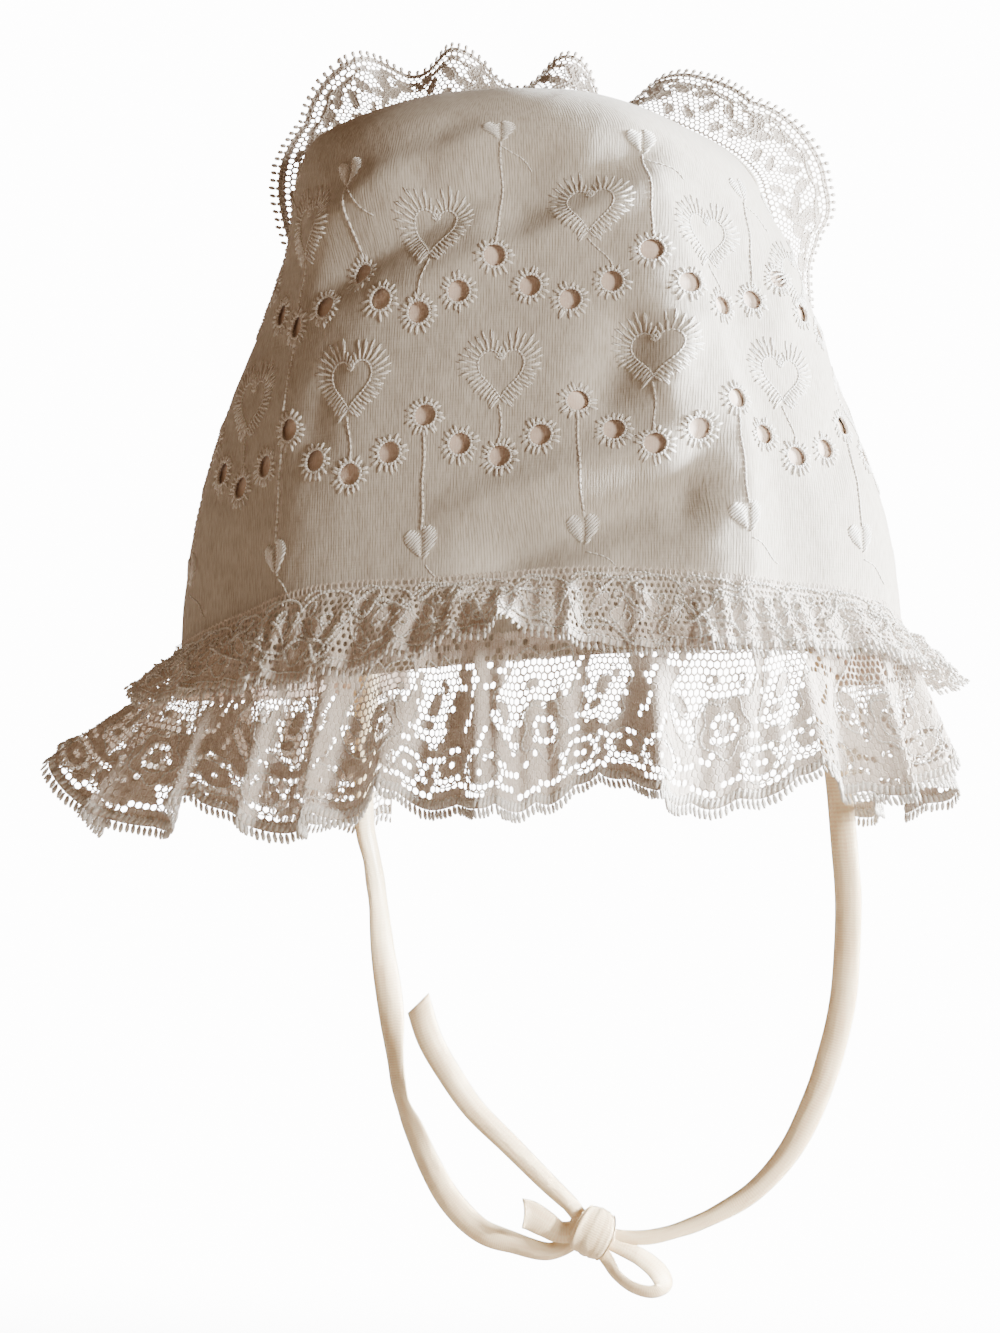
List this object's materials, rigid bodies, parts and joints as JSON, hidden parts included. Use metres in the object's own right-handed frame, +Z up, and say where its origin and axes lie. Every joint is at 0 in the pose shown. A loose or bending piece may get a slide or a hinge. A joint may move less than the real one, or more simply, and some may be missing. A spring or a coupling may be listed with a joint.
{
  "type": "christening bonnet",
  "caption": "Baby's bonnet of white eyelet cotton, open to the face and neck, with gathered lace frills and satin ribbon ties knotted below.",
  "frame": {"origin": "inside the crown, where the top of the head meets the cloth", "axes": "+Z up as worn, the wearer faces +Y, +X is to the right seen from behind"},
  "size_m": [0.2041, 0.1491, 0.2985],
  "materials": {
    "cotton": "matte woven",
    "lace": "matte lace",
    "satin": "soft satin"
  },
  "bodies": {
    "root": {"bonnet_body": "cotton", "neck_frill_lower": "lace", "neck_frill_upper": "lace", "face_frill": "lace", "tie_right": "satin", "tie_left": "satin", "tie_tail_long": "satin", "tie_tail_short": "satin", "tie_loop": "satin", "tie_knot": "satin"}
  },
  "joints": []
}
